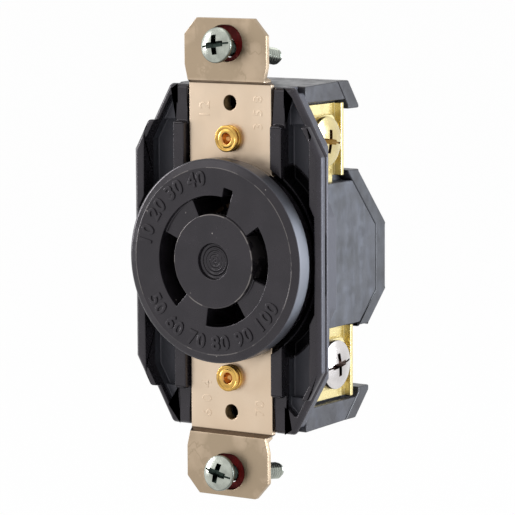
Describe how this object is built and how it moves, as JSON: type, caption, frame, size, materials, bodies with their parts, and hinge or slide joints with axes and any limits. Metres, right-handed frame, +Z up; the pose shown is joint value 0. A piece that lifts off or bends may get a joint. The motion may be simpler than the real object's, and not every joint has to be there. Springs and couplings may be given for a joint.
{
  "type": "locking receptacle",
  "caption": "Round locking electrical receptacle on a metal mounting strap, with curved blade slots, side terminals and a black moulded body.",
  "frame": {"origin": "middle of the device on the front surface of the mounting strap, halfway between the wall plate holes", "axes": "+X to the installer's right, +Y back into the wall box, +Z up along the strap"},
  "size_m": [0.0434, 0.0396, 0.093],
  "materials": {
    "black_plastic": "moulded, semi-gloss, near black",
    "strap_plating": "nickel-plated steel, satin, warm",
    "brass": "pale stamped brass",
    "rivet_brass": "turned brass, golden",
    "screw_zinc": "zinc-plated steel",
    "silver_screw": "nickel-plated, bright",
    "green_screw": "green dyed plating",
    "red_fibre": "vulcanised fibre, matt",
    "contact_bronze": "spring bronze"
  },
  "bodies": {
    "root": {"mounting_strap": "strap_plating", "face": "black_plastic", "front_housing": "black_plastic", "terminal_housing": "black_plastic", "rear_cover": "black_plastic", "rivet_top": "rivet_brass", "rivet_bottom": "rivet_brass", "box_screw_top": "screw_zinc", "box_screw_bottom": "screw_zinc", "fibre_washer_top": "red_fibre", "fibre_washer_bottom": "red_fibre", "terminal_plate_upper_right": "brass", "terminal_plate_upper_left": "brass", "terminal_plate_lower_right": "brass", "terminal_plate_lower_left": "brass", "clamp_upper_right": "brass", "clamp_upper_left": "brass", "clamp_lower_right": "brass", "clamp_lower_left": "brass", "terminal_screw_upper_right": "brass", "terminal_screw_upper_left": "green_screw", "terminal_screw_lower_right": "silver_screw", "terminal_screw_lower_left": "brass", "contact_top": "contact_bronze", "contact_left": "contact_bronze", "contact_bottom": "contact_bronze", "contact_right": "contact_bronze", "ground_clip": "contact_bronze", "body_screw_left": "screw_zinc", "body_screw_right": "screw_zinc"}
  },
  "joints": []
}
